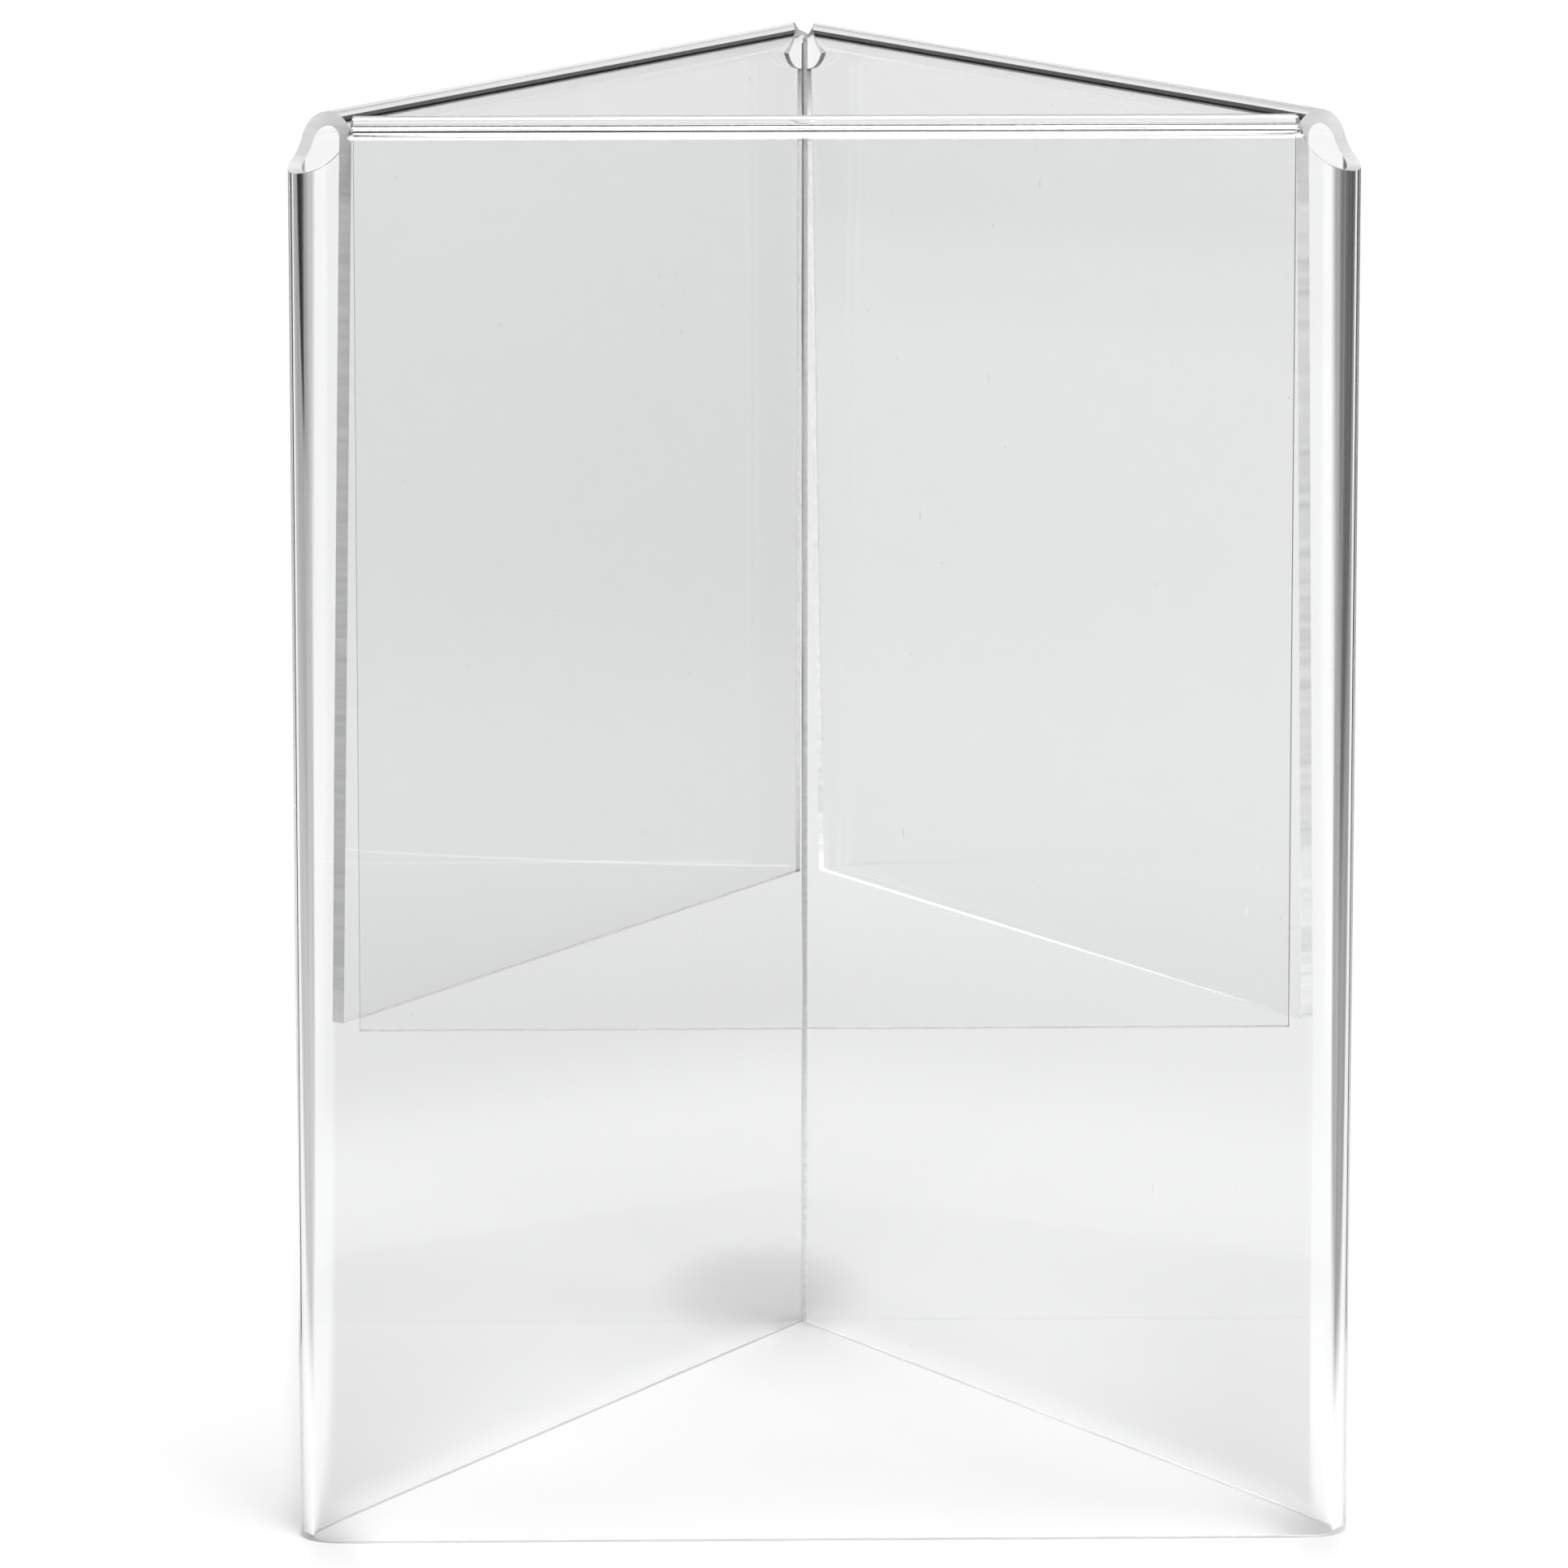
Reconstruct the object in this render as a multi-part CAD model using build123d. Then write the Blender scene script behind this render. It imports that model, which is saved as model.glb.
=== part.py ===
from build123d import *
import os
from math import atan, cos, degrees, pi, radians, sin, sqrt, tan

# Three-sided card holder in clear acrylic.
# One sheet is bent into a triangular tube. The top of each side is folded inwards and hangs down
# inside as a flap, and a card slides up between the side and its flap. The sheet's two sawn ends
# meet at the rear corner and are joined with cement.
# Each formed region of the sheet is its own solid, and neighbours meet face to face.
# Millimetres, +Z up, front side facing -Y, origin at the middle of the bounding box's bottom face.

# Driving dimensions
side = 120.0  # outer face of one side, between the sharp corners of the triangle
height = 154.4
sheet = 1.5  # sheet thickness
corner_radius = 4.4  # outer radius of the two bent front corners
fold_radius = 2.8  # outer radius of the folded top edges
flap_bottom = 56.0  # height of a flap's free edge above the table
tip_gap = 1.0  # card gap left at a flap's free edge
relief_radius = 6.35  # half-inch hole where a corner's bend line meets the fold lines
ear_drop = 2.2  # how far the rear corner's top is cut down at the seam
ear_length = 7.2  # from the rear corner to where a fold reaches full height
ear_bulge = (0.45, 0.3)  # a point the ear's curve passes: share of its length, share of its drop
rear_relief_radius = 3.6  # rounded inner corner at the rear of a side flap
rear_relief_drop = 1.6  # its centre below the middle of the folded strip
rear_reach_share = 0.9  # how much of its radius the slanted end of a fold runs past the flap's edge
joint_gap = 0.1  # cement between the right side's sawn end and the left side
bead_leg = 0.35  # cement fillet on each inner face of the rear corner

# Worked out from them
triangle_depth = side * sin(radians(60))
centre_y = triangle_depth / 3
tangent_length = corner_radius * tan(radians(60))
bend_neutral = corner_radius - sheet / 2
fold_neutral = fold_radius - sheet / 2
wall_top = height - fold_radius
relief_inset = tangent_length - bend_neutral * pi / 3
relief_z = wall_top + fold_neutral * pi / 2
flap_inset = relief_inset + relief_radius
lean = atan((2 * (fold_radius - sheet) - tip_gap) / (wall_top - flap_bottom))
half_side = side / 2
left_end = sheet * tan(radians(30))
right_end = sheet / tan(radians(30)) + joint_gap
depth = triangle_depth - left_end * cos(radians(30))
inner_corner = Vector(0, triangle_depth - sheet / sin(radians(30)))
margin = 2.0  # how far cutting tools run past the sheet
relief_steps = 5  # points drawn along a wrapped relief edge, each side of its middle
relief_step = radians(15)

# Each side is drawn as the front one, then turned about the middle of the triangle.
# "start" and "end" are the corners at its low and high x: bent, or the open rear one.
SIDES = {
    "front": {"turn": 0, "start": "bent", "end": "bent"},
    "right": {"turn": 120, "start": "bent", "end": "rear"},
    "left": {"turn": 240, "start": "rear", "end": "bent"},
}


def turned(shape, turn):
    """A shape drawn on the front side, moved to the side at that turn."""
    return Pos(0, centre_y) * Rot(0, 0, turn) * Pos(0, -centre_y) * shape


def prism_x(points, x_low, x_high):
    """A prism along x. The points are (distance in from the outer face, height)."""
    face = Plane.YZ.offset(x_low) * make_face(Polyline(*points, close=True))
    return extrude(face, x_high - x_low)


def prism_y(outline, y_low, y_high):
    """A prism through the sheet. The outline is closed, with points (distance from corner, height)."""
    face = Plane.XZ.offset(-y_high) * make_face(outline)
    return extrude(face, y_high - y_low)


def at_corner(tool, corner_end):
    """A tool drawn at distances from a corner at x = 0, moved to one end of the front side."""
    if corner_end == "start":
        return Pos(-half_side) * tool
    return Pos(half_side) * mirror(tool, Plane.YZ)


def bent_wall_relief():
    """The relief hole beside a bent corner, where it cuts the wall and the outside of the fold."""
    hole = Pos(relief_inset, relief_z) * CenterArc((0, 0), relief_radius, 0, 360)
    return prism_y(hole, -margin, fold_radius)


def bent_fold_relief():
    """The slot beside a flap, where it cuts the inside of the fold."""
    low, high = wall_top - margin, height + margin
    slot = Polyline((0, low), (flap_inset, low), (flap_inset, high), (0, high), close=True)
    return prism_y(slot, fold_radius, 2 * fold_radius + margin)


def rear_ear_relief():
    """What is cut from the outside of a fold where it drops towards the seam."""
    seam_top = height - ear_drop
    bulge = (ear_bulge[0] * ear_length, height - ear_bulge[1] * ear_drop)
    ear = ThreePointArc((0, seam_top), bulge, (ear_length, height))
    high = height + margin
    above = [(ear_length, height), (ear_length, high), (-margin, high), (-margin, seam_top), (0, seam_top)]
    rest = Polyline(*above)
    return prism_y(Wire([ear, *rest.edges()]), -margin, fold_radius)


def rear_relief_hole():
    """The rounded corner at the rear of a side flap's top."""
    hole = Pos(flap_inset, relief_z - rear_relief_drop) * CenterArc((0, 0), rear_relief_radius, 0, 360)
    return prism_y(hole, fold_radius, 2 * fold_radius + margin)


def rear_fold_relief():
    """The slanted end of the inside of a fold, from the ear's top to the flap's rounded corner."""
    low, high = wall_top - margin, height + margin
    reach = flap_inset + rear_relief_radius * rear_reach_share
    inner_side = [(-margin, low), (reach, low), (reach, wall_top)]
    outer_side = [(ear_length, height), (ear_length, high), (-margin, high)]
    slant = Polyline(*inner_side, *outer_side, close=True)
    return prism_y(slant, fold_radius, 2 * fold_radius + margin)


def wall_ends(ends):
    """The x range of a side's wall, between its bends or out to its sawn end."""
    low = tangent_length if ends["start"] == "bent" else left_end
    high = tangent_length if ends["end"] == "bent" else right_end
    return low - half_side, half_side - high


def panel(ends):
    """The flat wall of a side, up to where its fold starts."""
    x_low, x_high = wall_ends(ends)
    wall = prism_x([(0, 0), (sheet, 0), (sheet, wall_top), (0, wall_top)], x_low, x_high)
    for corner in ("start", "end"):
        if ends[corner] == "bent":
            wall -= at_corner(bent_wall_relief(), corner)
    return wall


def fold(ends):
    """The half-round top edge of a side, which turns the sheet down inside."""
    sweep = 180 + degrees(lean)
    outer = CenterArc((fold_radius, wall_top), fold_radius, 180, -sweep)
    inner = CenterArc((fold_radius, wall_top), fold_radius - sheet, 180, -sweep)
    section = make_face(Wire([outer, Line(outer @ 1, inner @ 1), inner, Line(inner @ 0, outer @ 0)]))
    x_low, x_high = wall_ends(ends)
    tube = extrude(Plane.YZ.offset(x_low) * section, x_high - x_low)
    for corner in ("start", "end"):
        if ends[corner] == "bent":
            tube -= at_corner(bent_wall_relief(), corner)
            tube -= at_corner(bent_fold_relief(), corner)
        else:
            tube -= at_corner(rear_ear_relief(), corner)
            tube -= at_corner(rear_fold_relief(), corner)
            tube -= at_corner(rear_relief_hole(), corner)
    return tube


def flap(ends):
    """The flat flap that hangs from a fold and leans back towards the wall."""
    across = Vector(cos(lean), -sin(lean))
    down = Vector(-sin(lean), -cos(lean))
    pivot = Vector(fold_radius, wall_top)
    length = (wall_top - flap_bottom - fold_radius * sin(lean)) / cos(lean)
    outside = pivot + across * fold_radius
    inside = pivot + across * (fold_radius - sheet)
    corners = [inside, outside, outside + down * length, inside + down * length]
    reach = half_side - flap_inset
    leaf = prism_x([(p.X, p.Y) for p in corners], -reach, reach)
    for corner in ("start", "end"):
        if ends[corner] == "rear":
            leaf -= at_corner(rear_relief_hole(), corner)
    return leaf


def relief_edge(axis, middle, radius):
    """The relief hole's lower edge wrapped round a bend and a little past it, at that radius."""
    points = []
    for step in range(-relief_steps, relief_steps + 1):
        angle = relief_step * step
        drop = sqrt(relief_radius**2 - (bend_neutral * angle) ** 2)
        turn = radians(middle) + angle
        points.append((axis.X + radius * cos(turn), axis.Y + radius * sin(turn), relief_z - drop))
    return Spline(*points)


def corner_bend(sign):
    """The rounded front corner on that side of x = 0, from the table up to its relief hole."""
    axis = Vector(sign * (half_side - tangent_length), corner_radius)
    first = -90 if sign > 0 else 150
    outer = CenterArc((axis.X, axis.Y), corner_radius, first, 120)
    inner = CenterArc((axis.X, axis.Y), corner_radius - sheet, first, 120)
    section = make_face(Wire([outer, Line(outer @ 1, inner @ 1), inner, Line(inner @ 0, outer @ 0)]))
    bend = extrude(section, height)
    radii = (corner_radius - sheet - margin / 2, corner_radius + margin / 2)
    top = Face.make_surface_from_curves(*[relief_edge(axis, first + 60, radius) for radius in radii])
    return bend - Solid.extrude(top, Vector(0, 0, height))


def seam_bead():
    """The cement: a wedge behind the right side's sawn end, and a fillet inside the corner."""
    along_left = Vector(0.5, sin(radians(60)))
    along_right = Vector(0.5, -sin(radians(60)))
    out_right = Vector(cos(radians(30)), 0.5)
    sawn_end = inner_corner + along_right * joint_gap
    outline = [
        inner_corner - along_left * bead_leg,
        inner_corner + along_right * bead_leg,
        sawn_end,
        sawn_end + out_right * sheet,
        inner_corner + along_left * (sheet / cos(radians(30))),
    ]
    return extrude(make_face(Polyline(*outline, close=True)), wall_top)


nodes = {}
for name, ends in SIDES.items():
    nodes[f"{name}_panel"] = turned(panel(ends), ends["turn"])
    nodes[f"{name}_fold"] = turned(fold(ends), ends["turn"])
    nodes[f"{name}_flap"] = turned(flap(ends), ends["turn"])

# Above the walls, the two side folds are trimmed back so that they clear each other at the rear.
for name, sign in (("left", -1), ("right", 1)):
    far_side = Box(side, 4 * side, 2 * height)
    nodes[f"{name}_fold"] -= Pos(sign * (joint_gap / 2 - half_side), centre_y, height / 2) * far_side

nodes["left_corner_bend"] = corner_bend(-1)
nodes["right_corner_bend"] = corner_bend(1)
nodes["rear_seam_bead"] = seam_bead()

os.makedirs("parts", exist_ok=True)
for name, shape in nodes.items():
    solids = (Pos(0, -depth / 2) * shape).solids()
    export_step(solids[0] if len(solids) == 1 else Compound(children=solids), f"parts/{name}.step")
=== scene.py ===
"""Looks for the three-sided acrylic card holder: one formed clear sheet, its cement, and a studio table."""
import math

import bmesh
import bpy
import numpy as np
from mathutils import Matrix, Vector


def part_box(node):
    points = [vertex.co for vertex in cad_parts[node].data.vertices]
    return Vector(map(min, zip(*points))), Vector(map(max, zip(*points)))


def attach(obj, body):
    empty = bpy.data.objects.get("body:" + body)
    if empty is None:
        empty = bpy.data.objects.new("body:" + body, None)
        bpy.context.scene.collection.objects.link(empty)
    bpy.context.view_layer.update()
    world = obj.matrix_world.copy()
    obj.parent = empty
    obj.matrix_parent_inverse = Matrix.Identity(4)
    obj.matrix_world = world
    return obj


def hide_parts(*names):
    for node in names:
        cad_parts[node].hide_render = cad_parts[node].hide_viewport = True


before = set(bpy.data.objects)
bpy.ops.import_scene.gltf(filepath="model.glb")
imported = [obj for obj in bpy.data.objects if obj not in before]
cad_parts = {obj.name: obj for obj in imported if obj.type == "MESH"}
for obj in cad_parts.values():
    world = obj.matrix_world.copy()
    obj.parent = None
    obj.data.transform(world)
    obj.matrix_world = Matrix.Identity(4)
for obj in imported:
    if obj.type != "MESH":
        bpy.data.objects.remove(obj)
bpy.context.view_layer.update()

MM = 0.001
THIRTY = math.radians(30)
SIXTY = math.radians(60)
CORNER_TURN = math.radians(120)

# ---------------------------------------------------------------- sizes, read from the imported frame
panel_low, panel_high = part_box("front_panel")
flap_low, flap_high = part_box("front_flap")
fold_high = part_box("front_fold")[1]
bend_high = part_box("right_corner_bend")[1]
bead_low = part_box("rear_seam_bead")[0]

FRONT_Y = panel_low.y
SHEET = panel_high.y - panel_low.y
WALL_TOP = panel_high.z
TOP = fold_high.z
FOLD_OUTER = TOP - WALL_TOP
FOLD_NEUTRAL = FOLD_OUTER - SHEET / 2
CORNER_OUTER = bend_high.x - panel_high.x
CORNER_NEUTRAL = CORNER_OUTER - SHEET / 2
HALF_FLAT = panel_high.x
TANGENT = CORNER_OUTER * math.tan(SIXTY)
SIDE = 2 * (HALF_FLAT + TANGENT)
FLAP_INSET = SIDE / 2 - flap_high.x
FLAP_BOTTOM = flap_low.z
LEFT_END = SHEET * math.tan(THIRTY)
JOINT_GAP = 0.1 * MM
RIGHT_END = SHEET / math.tan(THIRTY) + JOINT_GAP
BEAD_LEG = -2 * bead_low.x
BEAD_INSET = 0.01 * MM  # keeps the cement just clear of the sheet's faces
BEAD_LEVELS = 76

# ---------------------------------------------------------------- the sheet's flat pattern
# "along" runs round the tube from the middle of the front side, positive to the right.
# "up" runs from the bottom edge up the wall, over the fold and down the flap.
EDGE_BREAK = 0.03 * MM  # sawn edges are scraped very slightly
BEND_ARC = CORNER_NEUTRAL * CORNER_TURN
SIDE_START = HALF_FLAT + BEND_ARC
REAR_CORNER = SIDE_START + SIDE - TANGENT
BEND_MIDDLE = HALF_FLAT + BEND_ARC / 2
FOLD_MIDDLE = WALL_TOP + FOLD_NEUTRAL * math.pi / 2
TIP_GAP = 1.0 * MM
LEAN = math.atan((2 * (FOLD_OUTER - SHEET) - TIP_GAP) / (WALL_TOP - FLAP_BOTTOM))
FOLD_END = WALL_TOP + FOLD_NEUTRAL * (math.pi + LEAN)
FLAP_END = FOLD_END + (WALL_TOP - FLAP_BOTTOM - FOLD_OUTER * math.sin(LEAN)) / math.cos(LEAN)
RELIEF = FLAP_INSET - (TANGENT - BEND_ARC / 2)
FLAP_REAR = REAR_CORNER - FLAP_INSET
# How far each flap leans, from the left flap's rear end round to the right flap's, as a share of LEAN.
LEAN_ALONG = [-FLAP_REAR, -BEND_MIDDLE - RELIEF, -BEND_MIDDLE, BEND_MIDDLE, FLAP_REAR]
LEAN_SHARE = [0.15, 1.15, 1.0, 1.0, 1.1]
EAR_DROP = 2.2 * MM  # the top edge drops this far from a fold to the seam,
EAR_LENGTH = 7.2 * MM  # over this length,
EAR_CURVE = 0.8  # along a power curve
EAR_SHARES = np.linspace(0.15, 1, 10)
REAR_RELIEF = 3.6 * MM  # rounded inner corner at the rear of a side flap
REAR_RELIEF_DROP = 1.6 * MM
REAR_RELIEF_START = 154  # degrees, where the fold's slanted end runs into it
CURL_START = 1.0 * MM  # beside the seam the top edge stands upright up to here,
CURL_LENGTH = 3.5 * MM  # and curls over within this length
LEAST_CURL = 1e-4

# Spacing of the pattern's divisions, in millimetres on the flats and as counts across the curves
FLAT_STEP = 8
SEAM_STEP = 0.5
BEND_STEPS = 40
FOLD_STEPS = 56
REAR_RELIEF_STEPS = 9
RELIEF_STEPS = 49
SMOOTH_TURN = 0.9  # cosine of the sharpest turn of the rim that is shaded smooth

# Zones of the sheet that the materials treat apart
SEAM_ZONE = 8 * MM
FLAP_FRONT_ZONE = 5 * MM
FOLD_ZONE = 2 * MM
EDGE_ZONE = 1 * MM
GLOW_RISE = 30 * MM  # how far up the right flap's rear edge the painted edge glow fades out


def arc(centre, radius, first, last, count):
    """Points on an arc of the flat pattern, angles in degrees, in (along, up)."""
    angles = np.radians(np.linspace(first, last, count))
    return [(centre[0] + radius * math.cos(a), centre[1] + radius * math.sin(a)) for a in angles]


def half_outline(sawn_end):
    """The right half of the pattern's outline, from the rear end's foot to the front flap's end."""
    ear_top = TOP - EAR_DROP
    hole = (FLAP_REAR, FOLD_END - FOLD_NEUTRAL * math.pi / 2 + REAR_RELIEF_DROP)
    points = [(REAR_CORNER - sawn_end, 0.0), (REAR_CORNER - sawn_end, ear_top)]
    for share in EAR_SHARES:
        rise = share ** EAR_CURVE
        points.append((REAR_CORNER - sawn_end - share * (EAR_LENGTH - sawn_end),
                       ear_top + (FOLD_MIDDLE - ear_top) * rise))
    points += arc(hole, REAR_RELIEF, REAR_RELIEF_START, 90, REAR_RELIEF_STEPS)
    points += [(FLAP_REAR, FLAP_END), (BEND_MIDDLE + RELIEF, FLAP_END)]
    points += arc((BEND_MIDDLE, FOLD_MIDDLE), RELIEF, 0, -180, RELIEF_STEPS)
    points.append((BEND_MIDDLE - RELIEF, FLAP_END))
    return points


def outline():
    """The whole pattern's outline, anticlockwise."""
    right = half_outline(RIGHT_END)
    left = [(-x, y) for x, y in reversed(half_outline(LEFT_END))]
    return right + left


def pulled_in(points, amount):
    """A closed outline moved inwards by an even amount."""
    p = np.array(points)
    before, after = p - np.roll(p, 1, 0), np.roll(p, -1, 0) - p
    n = [np.stack([-d[:, 1], d[:, 0]], 1) / np.linalg.norm(d, axis=1)[:, None] for d in (before, after)]
    middle = n[0] + n[1]
    middle /= (middle * n[0]).sum(1)[:, None]
    return p + middle * amount


# ---------------------------------------------------------------- from the flat pattern to the formed sheet
def formed(along, up):
    """Position of the sheet's middle surface for arrays of pattern coordinates."""
    side = np.sign(along)
    a = np.abs(along)
    turn = np.clip((a - HALF_FLAT) / CORNER_NEUTRAL, 0, CORNER_TURN)
    past = np.maximum(a - HALF_FLAT - BEND_ARC, 0)
    x = np.minimum(a, HALF_FLAT) + CORNER_NEUTRAL * np.sin(turn) + past * math.cos(CORNER_TURN)
    y = CORNER_OUTER - CORNER_NEUTRAL * np.cos(turn) + past * math.sin(CORNER_TURN)
    out = np.stack([np.sin(turn), -np.cos(turn)], -1)
    # Next to the sawn ends the top edge stays upright, because the relief hole cuts it off from the fold.
    share = np.clip((REAR_CORNER - a - CURL_START) / CURL_LENGTH, 0, 1)
    curl = np.maximum(share * share * (3 - 2 * share), LEAST_CURL)
    lean = LEAN * np.interp(along, LEAN_ALONG, LEAN_SHARE)
    bend = np.clip((up - WALL_TOP) / FOLD_NEUTRAL, 0, math.pi + lean) * curl
    radius = FOLD_NEUTRAL / curl
    hang = np.maximum(up - WALL_TOP - FOLD_NEUTRAL * (math.pi + lean), 0)
    inward = radius * (1 - np.cos(bend)) + hang * np.sin(bend)
    z = np.minimum(up, WALL_TOP) + radius * np.sin(bend) + hang * np.cos(bend)
    return np.stack([side * (x - out[..., 0] * inward), y - out[..., 1] * inward + FRONT_Y, z], -1)


def formed_normal(along, up):
    """Outward unit normal of the middle surface."""
    step = 0.0005 * MM
    da = formed(along + step, up) - formed(along - step, up)
    du = formed(along, up + step) - formed(along, up - step)
    n = np.cross(da, du)
    return n / np.linalg.norm(n, axis=-1, keepdims=True)


def grid_lines():
    """Where the pattern is divided: close together across the bends and folds, open on the flats."""
    alongs = list(np.arange(-48, 49, FLAT_STEP) * MM)
    for sign in (-1, 1):
        alongs += [sign * (HALF_FLAT + BEND_ARC * i / BEND_STEPS) for i in range(BEND_STEPS + 1)]
        alongs += [sign * (SIDE_START + d) for d in np.arange(FLAT_STEP, 108, FLAT_STEP) * MM]
        alongs += [sign * (REAR_CORNER - d) for d in np.arange(2.5, 10.5, SEAM_STEP) * MM]
    ups = [WALL_TOP + (FOLD_END - WALL_TOP) * i / FOLD_STEPS for i in range(FOLD_STEPS + 1)]
    ups += list(np.arange(FLAT_STEP, 150, FLAT_STEP) * MM)
    ups += list(FOLD_END + np.arange(FLAT_STEP, 96, FLAT_STEP) * MM)
    return alongs, ups


def divided(points):
    """The pattern inside its outline as small faces, cut along the grid lines."""
    scale = 1000.0  # cut in millimetres, where single precision is ample
    bm = bmesh.new()
    bm.faces.new([bm.verts.new((x * scale, y * scale, 0)) for x, y in points.tolist()])
    for axis, places in enumerate(grid_lines()):
        direction = Vector((1 - axis, axis, 0))
        for place in places:
            parts = bm.verts[:] + bm.edges[:] + bm.faces[:]
            bmesh.ops.bisect_plane(bm, geom=parts, dist=1e-3, plane_co=direction * place * scale,
                                   plane_no=direction)
    odd = [f for f in bm.faces if len(f.verts) > 4]
    bmesh.ops.triangulate(bm, faces=odd, ngon_method="EAR_CLIP")
    bm.verts.index_update()
    flat = np.array([v.co.xy for v in bm.verts], dtype=float) / scale
    faces = [[v.index for v in f.verts] for f in bm.faces]
    bm.free()
    return flat, faces


def rim(faces):
    """The boundary of a set of faces as one closed loop of vertex numbers, in order."""
    seen = {(a, b) for f in faces for a, b in zip(f, f[1:] + f[:1])}
    follow = {}
    for f in faces:
        for a, b in zip(f, f[1:] + f[:1]):
            if (b, a) not in seen:
                follow[a] = b
    start = next(iter(follow))
    loop, at = [start], follow[start]
    while at != start:
        loop.append(at)
        at = follow[at]
    assert len(loop) == len(follow), "the sheet's outline is not one loop"
    return loop


def edge_directions(middle, normal):
    """Outward direction of the sawn face at both ends of each stretch of the rim, smooth round curves."""
    tangent = np.roll(middle, -1, 0) - middle
    face = np.cross(tangent, normal + np.roll(normal, -1, 0))
    face /= np.linalg.norm(face, axis=1)[:, None]
    directions = []
    for i in range(len(face)):
        here = []
        for neighbour in (i - 1, (i + 1) % len(face)):
            both = face[i] + face[neighbour]
            smooth = np.dot(face[i], face[neighbour]) > SMOOTH_TURN
            here.append(both / np.linalg.norm(both) if smooth else face[i])
        directions.append(here)
    return directions


def mark(mesh, name, values):
    """Store one number per point, which a material reads."""
    mesh.attributes.new(name, "FLOAT", "POINT").data.foreach_set("value", np.asarray(values, dtype=float))


def mark_regions(mesh, along, up):
    """Numbers for the materials, from each point's place on the pattern."""
    far = np.abs(along)
    on_right = along > HALF_FLAT
    in_bend = (far > HALF_FLAT) & (far < SIDE_START)
    in_fold = (up > WALL_TOP) & (up < FOLD_END)
    near_seam = far > REAR_CORNER - SEAM_ZONE
    on_flap = up > FOLD_END + FOLD_ZONE
    flap_front = (far > SIDE_START) & (far < SIDE_START + FLAP_FRONT_ZONE) & on_flap
    flap_rear = (far > FLAP_REAR - EDGE_ZONE) & on_flap
    flap_end = up > FLAP_END - EDGE_ZONE
    wall_rear = (far > REAR_CORNER - RIGHT_END - EDGE_ZONE) & (up > 2 * EDGE_ZONE)
    bottom = up < EDGE_ZONE
    # Where the sheet is curved its glass bends light strongly, which the shadow reads.
    mark(mesh, "curved", np.maximum(0.42 * in_bend, np.maximum(0.25 * in_fold, 0.25 * near_seam)))
    # How smooth the sawn edges are: the flaps' rear edges are scraped clear, the walls' rear ends partly.
    mark(mesh, "scraped", np.maximum(flap_rear, np.maximum(0.35 * wall_rear, 0.7 * flap_end)))
    # The walls' rear ends are wetted by the milky cement.
    mark(mesh, "wetted", wall_rear & (up < WALL_TOP))
    # Painted glow at the sawn edges, an emission that stands in for light the sheet carries to them: most
    # along the right flap's free edge towards its rear, some at the side flaps' front ends, at the foot of
    # the walls' rear ends and under the right wall.
    to_rear = np.clip((along - HALF_FLAT) / (REAR_CORNER - HALF_FLAT), 0, 1)
    rising = np.clip((FLAP_END - up) / GLOW_RISE, 0, 1)
    light = flap_front * np.where(on_right, 0.3, 0.13)
    light = np.maximum(light, on_right * flap_end * (0.1 + 0.9 * to_rear))
    light = np.maximum(light, on_right * flap_rear * (0.35 - 0.33 * rising))
    light = np.maximum(light, wall_rear * (0.3 - 0.28 * up / WALL_TOP))
    light = np.maximum(light, on_right * bottom * 0.15)
    mark(mesh, "painted_edge_glow", light)
    # The bottom edge, which rests on tables, gets a little painted contact shade in its colour.
    mark(mesh, "painted_contact_shade", bottom)


def build_sheet():
    """The whole formed sheet as one closed mesh, with its sawn edges very slightly broken."""
    flat, faces = divided(pulled_in(outline(), EDGE_BREAK))
    loop = rim(faces)
    edge_flat = pulled_in(flat[loop], -EDGE_BREAK)
    middle, normal = formed(flat[:, 0], flat[:, 1]), formed_normal(flat[:, 0], flat[:, 1])
    edge_middle = formed(edge_flat[:, 0], edge_flat[:, 1])
    edge_normal = formed_normal(edge_flat[:, 0], edge_flat[:, 1])
    half = SHEET / 2
    coords = np.concatenate([middle + normal * half, middle - normal * half,
                             edge_middle + edge_normal * (half - EDGE_BREAK),
                             edge_middle - edge_normal * (half - EDGE_BREAK)])
    # The two faces of the sheet, in material slot 0
    count, ring = len(flat), len(loop)
    polys, slots, normals = [], [], []
    for f in faces:
        polys.append(f)
        normals += [normal[v] for v in f]
        polys.append([v + count for v in reversed(f)])
        normals += [-normal[v] for v in reversed(f)]
        slots += [0, 0]
    # Three strips along each stretch of the rim, in slot 1: a broken corner, the sawn face, a broken corner.
    # Each corner of a strip has (which end of the stretch, how far its normal leans to the sheet's outside).
    outer = count * 2
    inner = outer + ring
    for i, here in enumerate(edge_directions(edge_middle, edge_normal)):
        j = (i + 1) % ring
        a, b = loop[i], loop[j]
        strips = [
            ([a, outer + i, outer + j, b], [(0, 1), (0, 0), (1, 0), (1, 1)]),
            ([outer + i, inner + i, inner + j, outer + j], [(0, 0), (0, 0), (1, 0), (1, 0)]),
            ([inner + i, a + count, b + count, inner + j], [(0, 0), (0, -1), (1, -1), (1, 0)]),
        ]
        for quad, corners in strips:
            polys.append(quad)
            slots.append(1)
            for end, lean in corners:
                n = here[end] + lean * edge_normal[j if end else i]
                normals.append(n / np.linalg.norm(n))
    mesh = bpy.data.meshes.new("acrylic_sheet")
    mesh.from_pydata(coords.tolist(), [], polys)
    mesh.polygons.foreach_set("material_index", slots)
    mesh.polygons.foreach_set("use_smooth", [True] * len(polys))
    mesh.update()
    pattern = np.concatenate([flat, flat, edge_flat, edge_flat])
    mark_regions(mesh, pattern[:, 0], pattern[:, 1])
    mesh.normals_split_custom_set(np.array(normals).tolist())
    return mesh


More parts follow.
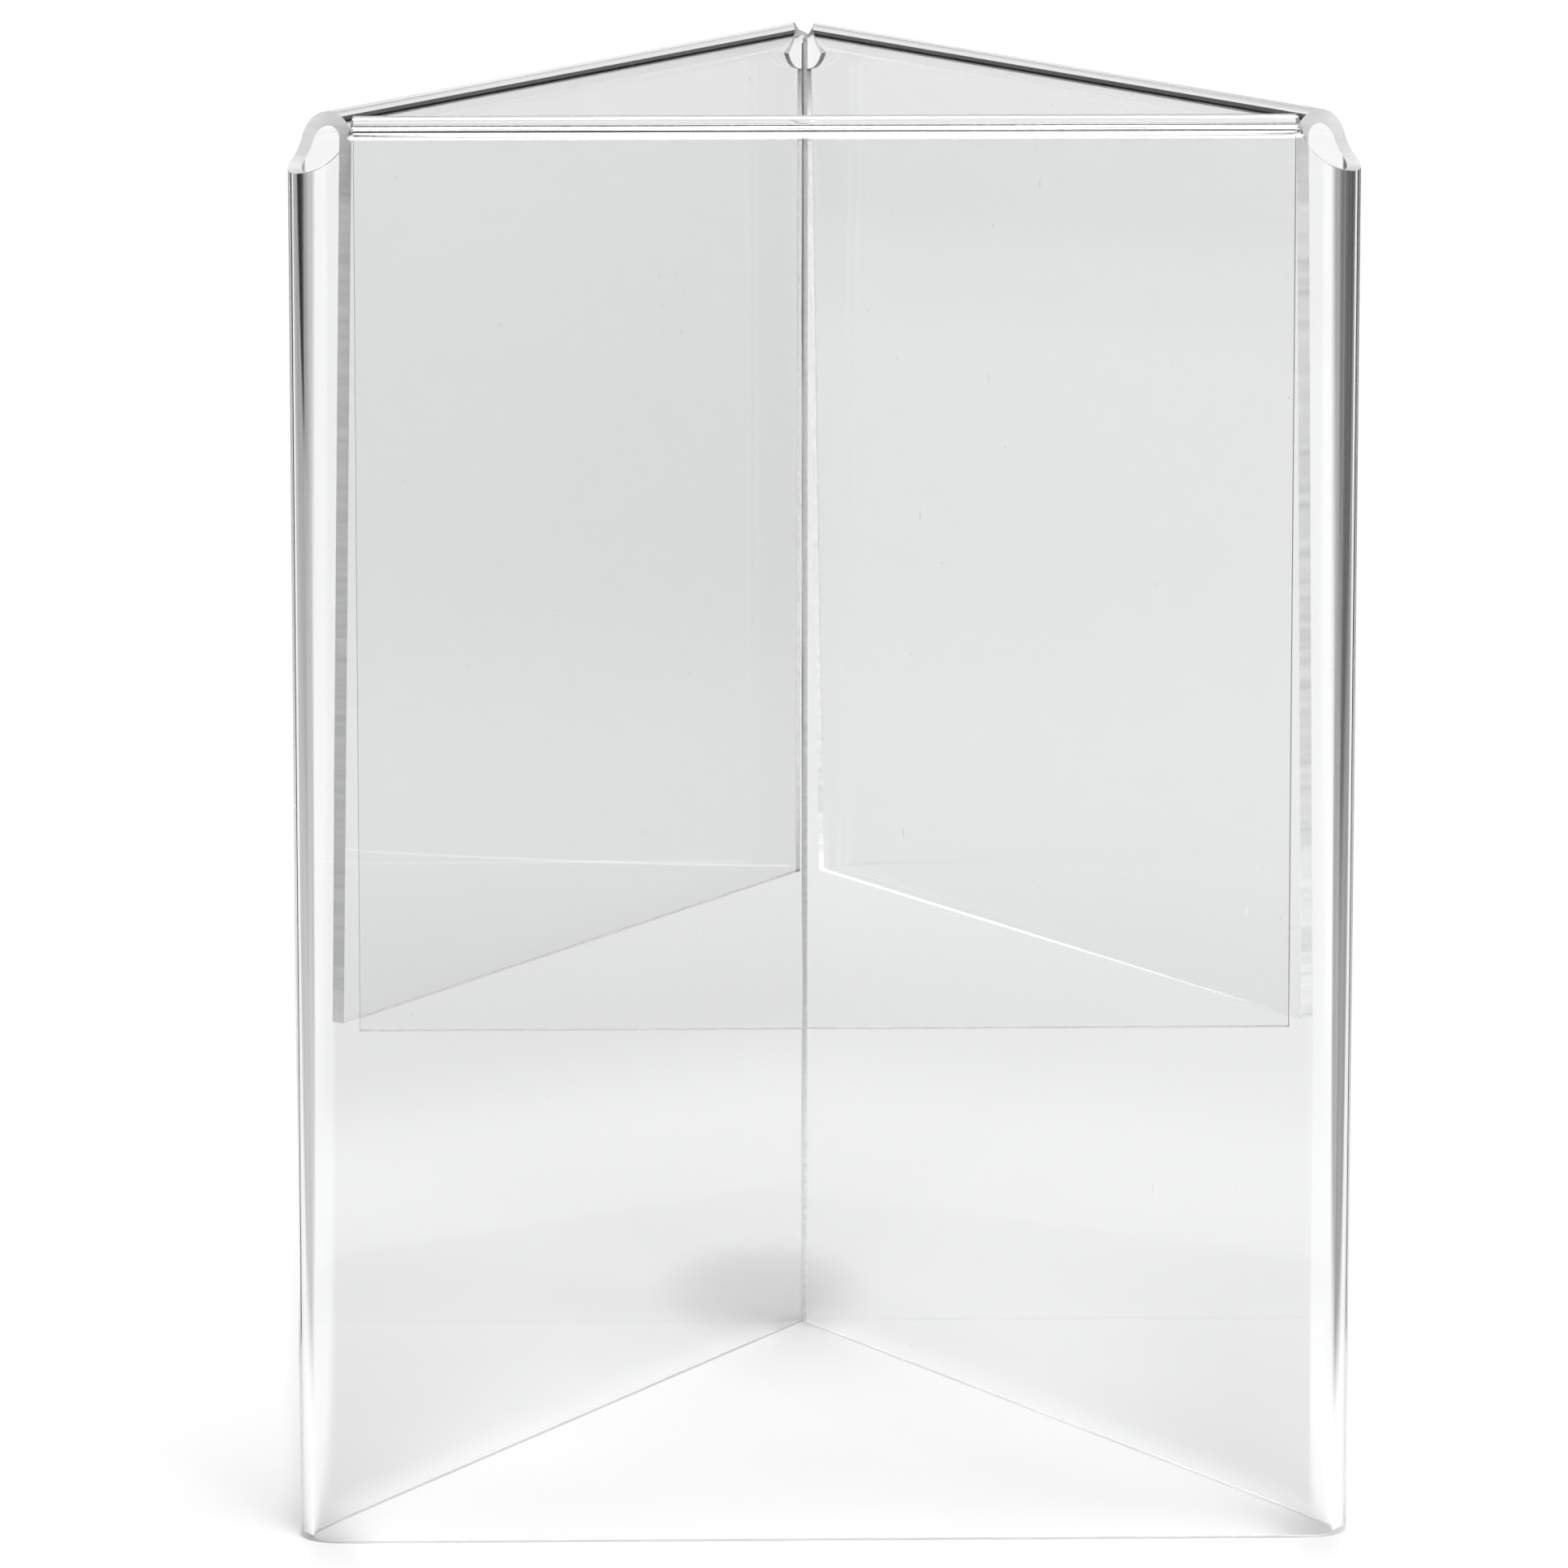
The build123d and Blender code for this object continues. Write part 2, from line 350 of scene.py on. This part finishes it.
def build_bead():
    """The cement's uneven fillet inside the corner. The layer in the joint itself can't be seen."""
    corner = np.array([0.0, FRONT_Y + SIDE * math.sin(SIXTY) - SHEET / math.sin(THIRTY)])
    along_left = np.array([0.5, math.sin(SIXTY)])
    along_right = along_left * (1, -1)
    coords, faces = [], []
    for z in np.linspace(BEAD_INSET, WALL_TOP - BEAD_INSET, BEAD_LEVELS).tolist():
        unevenness = 1 + 0.25 * math.sin(z / (9 * MM)) + 0.15 * math.sin(z / (3.7 * MM))
        leg = BEAD_LEG * (0.12 + 0.5 * z / WALL_TOP) * unevenness
        section = [corner - along_left * leg, corner + along_right * leg, corner]
        coords += [(x, y, z) for x, y in pulled_in(section, BEAD_INSET).tolist()]
    last = len(coords) - 3
    for low in range(0, last, 3):
        for i in range(3):
            a, b = low + i, low + (i + 1) % 3
            faces.append((a, b, b + 3, a + 3))
    faces.append((2, 1, 0))
    faces.append((last, last + 1, last + 2))
    mesh = bpy.data.meshes.new("rear_cement")
    mesh.from_pydata(coords, [], faces)
    return mesh


# ---------------------------------------------------------------- node helpers
class Nodes:
    """Adds and links shader nodes in one tree."""

    def __init__(self, tree):
        self.tree = tree
        tree.nodes.clear()

    def add(self, kind, inputs=None, **settings):
        node = self.tree.nodes.new(kind)
        for key, value in settings.items():
            setattr(node, key, value)
        for key, value in (inputs or {}).items():
            socket = node.inputs[key]
            if isinstance(value, bpy.types.NodeSocket):
                self.tree.links.new(value, socket)
            else:
                socket.default_value = value
        return node

    def math(self, operation, *values):
        return self.add("ShaderNodeMath", dict(enumerate(values)), operation=operation).outputs[0]

    def times(self, first, second):
        return self.math("MULTIPLY", first, second)

    def scaled(self, value, factor, offset):
        """value * factor + offset"""
        return self.math("MULTIPLY_ADD", value, factor, offset)

    def ranged(self, value, start, end, low, high, kind="LINEAR"):
        """The value's range from start to end, mapped to low to high and held beyond both ends."""
        return self.add("ShaderNodeMapRange", {"Value": value, "From Min": start, "From Max": end,
                                               "To Min": low, "To Max": high},
                        interpolation_type=kind).outputs[0]

    def fade(self, value, dark, pale, low=0.0, high=1.0):
        """Low at dark, high at pale, and smooth between them."""
        return self.ranged(value, dark, pale, low, high, "SMOOTHSTEP")

    def attribute(self, name):
        return self.add("ShaderNodeAttribute", attribute_name=name).outputs["Fac"]

    def stretched(self, scale, rotation=(0.0, 0.0, 0.0)):
        """The object's own coordinates, in metres, times a scale for each axis."""
        place = self.add("ShaderNodeTexCoord").outputs["Object"]
        return self.add("ShaderNodeMapping", {"Vector": place, "Rotation": rotation,
                                              "Scale": scale}).outputs[0]

    def shader(self, kind, inputs):
        return self.add(kind, inputs).outputs[0]

    def mixed(self, share, first, second):
        return self.shader("ShaderNodeMixShader", {0: share, 1: first, 2: second})

    def finish(self, surface):
        self.add("ShaderNodeOutputMaterial", {"Surface": surface})


def new_material(name):
    material = bpy.data.materials.new(name)
    material.use_nodes = True
    return material, Nodes(material.node_tree)


# ---------------------------------------------------------------- the object's materials
ACRYLIC_IOR = 1.491
CEMENT_IOR = 1.48
# Scale of the cells along each axis, size of a mark in its cell, and the share of cells with none
DUST = ((420.0, 420.0, 420.0), 0.045, 0.95)
HAIRS = ((500.0, 500.0, 60.0), 0.04, 0.97)
SAW_MARKS = (60.0, 60.0, 1100.0)
CEMENT_CLOUDS = (900.0, 900.0, 150.0)
NOISE = (0.3, 0.7)  # a noise texture stays mostly between these


def clear_acrylic():
    """Polished cast acrylic: clear, with a few dust specks, short hairs and scratches."""
    material, n = new_material("clear_acrylic")
    marks = []
    for scale, size, rarity in (DUST, HAIRS):
        cells = n.add("ShaderNodeTexVoronoi", {"Vector": n.stretched(scale, (0.3, 0.5, 0.0)), "Scale": 1.0,
                                               "Randomness": 1.0})
        pick = n.add("ShaderNodeSeparateColor", {"Color": cells.outputs["Color"]})
        marks.append(n.times(n.math("LESS_THAN", cells.outputs["Distance"], size),
                             n.math("GREATER_THAN", pick.outputs["Red"], rarity)))
    polished = n.shader("ShaderNodeBsdfPrincipled", {
        "Base Color": (0.978, 0.980, 0.981, 1), "Roughness": 0.0, "IOR": ACRYLIC_IOR,
        "Transmission Weight": 1.0})
    dust = n.shader("ShaderNodeBsdfDiffuse", {"Color": (0.85, 0.85, 0.85, 1)})
    dusty = n.mixed(n.times(n.math("MAXIMUM", *marks), 0.3), polished, dust)
    # Shadows: flat sheet lets nearly all light pass, except at a very low slant, and curved sheet less.
    is_shadow = n.add("ShaderNodeLightPath").outputs["Is Shadow Ray"]
    slant = n.add("ShaderNodeLayerWeight", {"Blend": 0.5}).outputs["Facing"]
    passed = n.scaled(n.math("POWER", slant, 5.0), -0.05, 1.0)
    kept_straight = n.math("SUBTRACT", 1.0, n.times(n.attribute("curved"), 0.7))
    through = n.times(n.times(is_shadow, passed), kept_straight)
    n.finish(n.mixed(through, dusty, n.shader("ShaderNodeBsdfTransparent", {"Color": (1, 1, 1, 1)})))
    return material


def sawn_edge():
    """The sheet's sawn edges: half-clear, with fine saw marks across the thickness, a painted glow and a
    little painted contact shade at the bottom edge.
    """
    material, n = new_material("sawn_edge")
    marks = n.add("ShaderNodeTexNoise", {"Vector": n.stretched(SAW_MARKS), "Scale": 1.0, "Detail": 3.0,
                                         "Roughness": 0.6}).outputs[0]
    bump = n.add("ShaderNodeBump", {"Height": marks, "Strength": 0.15, "Distance": 0.1 * MM}).outputs[0]
    scraped = n.attribute("scraped")
    clear = n.shader("ShaderNodeBsdfPrincipled", {
        "Base Color": (0.97, 0.97, 0.97, 1), "Roughness": n.ranged(scraped, 0.0, 1.0, 0.3, 0.06),
        "IOR": ACRYLIC_IOR, "Transmission Weight": 1.0, "Normal": bump})
    # The bottom edge's colour is darkened a little here as painted contact shade.
    shade = n.times(n.ranged(marks, *NOISE, 0.8, 0.97), n.scaled(n.attribute("painted_contact_shade"), -0.1, 1.0))
    frost = n.shader("ShaderNodeBsdfDiffuse", {"Color": shade, "Normal": bump})
    glow = n.shader("ShaderNodeBsdfTranslucent", {"Color": shade, "Normal": bump})
    haze = n.mixed(n.scaled(n.attribute("wetted"), 0.45, 0.4), frost, glow)
    surface = n.mixed(n.ranged(scraped, 0.0, 1.0, 0.75, 0.12), clear, haze)
    # Painted glow: an emission that stands in for the light the sheet carries to its sawn edges.
    strength = n.times(n.attribute("painted_edge_glow"), n.ranged(marks, *NOISE, 0.7, 1.2))
    painted_edge_glow = n.shader("ShaderNodeEmission", {"Color": (0.97, 0.98, 1.0, 1), "Strength": strength})
    n.finish(n.shader("ShaderNodeAddShader", {0: surface, 1: painted_edge_glow}))
    return material


def cement():
    """Solvent cement: half-clear, slightly milky."""
    material, n = new_material("acrylic_cement")
    cloud = n.add("ShaderNodeTexNoise", {"Vector": n.stretched(CEMENT_CLOUDS), "Scale": 1.0,
                                         "Detail": 2.0}).outputs[0]
    clear = n.shader("ShaderNodeBsdfPrincipled", {
        "Base Color": (0.95, 0.96, 0.96, 1), "Roughness": 0.15, "IOR": CEMENT_IOR,
        "Transmission Weight": 1.0})
    milk = n.shader("ShaderNodeBsdfTranslucent", {"Color": (0.9, 0.91, 0.91, 1)})
    n.finish(n.mixed(n.ranged(cloud, *NOISE, 0.25, 0.6), clear, milk))
    return material


# ---------------------------------------------------------------- the object's pieces
SHEET_NODES = [f"{side}_{part}" for side in ("front", "left", "right") for part in ("panel", "fold", "flap")]
SHEET_NODES += ["left_corner_bend", "right_corner_bend"]


def add_object(name, mesh, *materials):
    thing = bpy.data.objects.new(name, mesh)
    bpy.context.scene.collection.objects.link(thing)
    for material in materials:
        mesh.materials.append(material)
    return thing


sheet = add_object("acrylic_sheet", build_sheet(), clear_acrylic(), sawn_edge())
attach(sheet, "root")
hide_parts(*SHEET_NODES)

bead = add_object("rear_cement", build_bead(), cement())
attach(bead, "root")
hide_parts("rear_seam_bead")

# ---------------------------------------------------------------- the table, two pale screens, and the light
TABLE_Z = -0.02 * MM  # a hair below the sheet's bottom edge, so that the two faces don't share a plane
TABLE_SHADE = 0.86
TRIANGLE_MIDDLE_Y = FRONT_Y + SIDE * math.sin(SIXTY) / 3


def plane(name, corners, material):
    mesh = bpy.data.meshes.new(name)
    mesh.from_pydata(corners, [], [(0, 1, 2, 3)])
    add_object(name, mesh, material)


def studio_floor():
    """Pale table with a painted pool of light: brightest in a strip that widens towards the back, falling
    off softly at its sides.
    """
    material, n = new_material("studio_floor")
    place = n.add("ShaderNodeSeparateXYZ", {0: n.add("ShaderNodeNewGeometry").outputs["Position"]})
    x, y = place.outputs["X"], place.outputs["Y"]
    from_middle = n.math("ABSOLUTE", x)

    # Behind the object: the painted light strip's half width and middle line, then how the painted light
    # falls off at each side, to painted near-black far to the left and far behind.
    half_width = n.math("MAXIMUM", n.scaled(y, 0.081, 0.093), 0.087)
    off_middle = n.math("SUBTRACT", x, n.scaled(y, 0.023, -0.003))
    beyond_right = n.math("SUBTRACT", off_middle, half_width)
    beyond_left = n.math("SUBTRACT", n.times(off_middle, -1.0), half_width)
    right = n.times(n.fade(beyond_right, 0.06, 0.0, 0.32), n.fade(x, 0.5, 0.3, 0.35))
    far_left = n.times(n.fade(x, -0.5, -0.3, 0.8), n.fade(x, -0.85, -0.75, 0.03))
    left = n.times(n.fade(beyond_left, 0.06, 0.0, 0.55), far_left)
    back = n.times(n.times(right, left), n.fade(y, 2.7, 2.35, 0.05))
    # In front of it, the painted light falls off alike at both sides, towards a painted shade straight in
    # front of the object.
    front = n.fade(from_middle, 0.16, 0.30, 0.34, 1.05)
    to_front = n.fade(y, -0.07, -0.18)
    share = n.math("ADD", n.times(back, n.math("SUBTRACT", 1.0, to_front)), n.times(front, to_front))

    # Painted shadow: just behind the two rear sides the table is painted a little darker, most towards the
    # front corners.
    behind = n.math("ADD", n.times(from_middle, math.sin(SIXTY)),
                    n.times(n.math("SUBTRACT", y, TRIANGLE_MIDDLE_Y), math.cos(SIXTY)))
    sideways = n.math("DIVIDE", off_middle, half_width)
    within = n.times(n.fade(sideways, 0.665, 0.64), n.fade(sideways, -0.62, -0.56))
    to_corners = n.times(n.fade(n.math("ABSOLUTE", sideways), 0.25, 0.58), n.fade(y, 0.12, 0.0))
    near = n.times(n.fade(behind, 0.032, 0.042), n.fade(y, 0.36, 0.2))
    painted_shadows = n.scaled(n.times(near, within), n.scaled(to_corners, -0.12, -0.1), 1.0)
    # A soft painted shadow lies on the table behind the foot of the rear corner.
    aside = n.math("POWER", n.scaled(x, 1.6, 0.007), 2.0)
    beyond = n.math("POWER", n.scaled(y, 0.8, -0.052), 2.0)
    seam_foot_shadow = n.times(n.fade(n.math("ADD", aside, beyond), 0.0006, 0.0), n.fade(behind, 0.032, 0.036))
    painted_shadows = n.times(painted_shadows, n.scaled(seam_foot_shadow, -0.2, 1.0))

    n.finish(n.shader("ShaderNodeBsdfDiffuse", {"Color": n.times(n.times(share, painted_shadows), TABLE_SHADE)}))
    return material


def glowing_screen(name, strength):
    material, n = new_material(name)
    n.finish(n.shader("ShaderNodeEmission", {"Color": (1, 1, 1, 1), "Strength": strength}))
    return material


def soft_light(name, place, aim, size, power):
    data = bpy.data.lights.new(name, "AREA")
    data.shape = "RECTANGLE"
    data.size, data.size_y = size
    data.energy = power
    thing = bpy.data.objects.new(name, data)
    thing.location = place
    thing.rotation_euler = (Vector(aim) - Vector(place)).to_track_quat("-Z", "Y").to_euler()
    bpy.context.scene.collection.objects.link(thing)


plane("floor", [(-8, -8, TABLE_Z), (8, -8, TABLE_Z), (8, 8, TABLE_Z), (-8, 8, TABLE_Z)], studio_floor())
plane("back_screen", [(-0.5, 2.3, 0), (0.5, 2.3, 0), (0.5, 2.3, 0.9), (-0.5, 2.3, 0.9)],
      glowing_screen("back_glow", 1.0))
plane("front_screen", [(3, -4, 0), (-3, -4, 0), (-3, -4, 2.0), (3, -4, 2.0)],
      glowing_screen("front_glow", 0.5))

soft_light("key", place=(0.6, -0.95, 2.8), aim=(0.0, 0.1, 0.0), size=(1.8, 1.4), power=61.0)
soft_light("front", place=(0.3, -2.1, 1.25), aim=(0.0, 0.0, 0.08), size=(1.8, 0.5), power=44.0)
soft_light("background", place=(0.0, 1.9, 2.4), aim=(0.0, 1.9, 0.0), size=(1.6, 1.2), power=50.0)

world = bpy.data.worlds.new("studio")
bpy.context.scene.world = world
world.use_nodes = True
w = Nodes(world.node_tree)
dim_air = w.shader("ShaderNodeBackground", {"Color": (0.01, 0.01, 0.01, 1), "Strength": 1.0})
w.add("ShaderNodeOutputWorld", {"Surface": dim_air})

# ---------------------------------------------------------------- camera
CAMERA_PLACE = Vector((-0.02772, FRONT_Y - 1.0137, 0.27003))
CAMERA_FORWARD = Vector((0.02258, 0.98318, -0.18124))

camera_data = bpy.data.cameras.new("camera")
camera_data.sensor_width = 36.0
camera_data.lens = 222.2
camera_data.clip_start = 0.05
camera_data.clip_end = 50.0
camera = bpy.data.objects.new("camera", camera_data)
camera.location = CAMERA_PLACE
camera.rotation_euler = CAMERA_FORWARD.to_track_quat("-Z", "Y").to_euler()
bpy.context.scene.collection.objects.link(camera)
bpy.context.scene.camera = camera

scene = bpy.context.scene
scene.view_settings.view_transform = "Standard"
scene.view_settings.look = "None"
DEEP = 64  # light travels a long way inside the sheet before it leaves at an edge
scene.cycles.max_bounces = DEEP
scene.cycles.transmission_bounces = DEEP
scene.cycles.glossy_bounces = DEEP
scene.cycles.transparent_max_bounces = 32
scene.cycles.caustics_reflective = False
scene.cycles.caustics_refractive = False
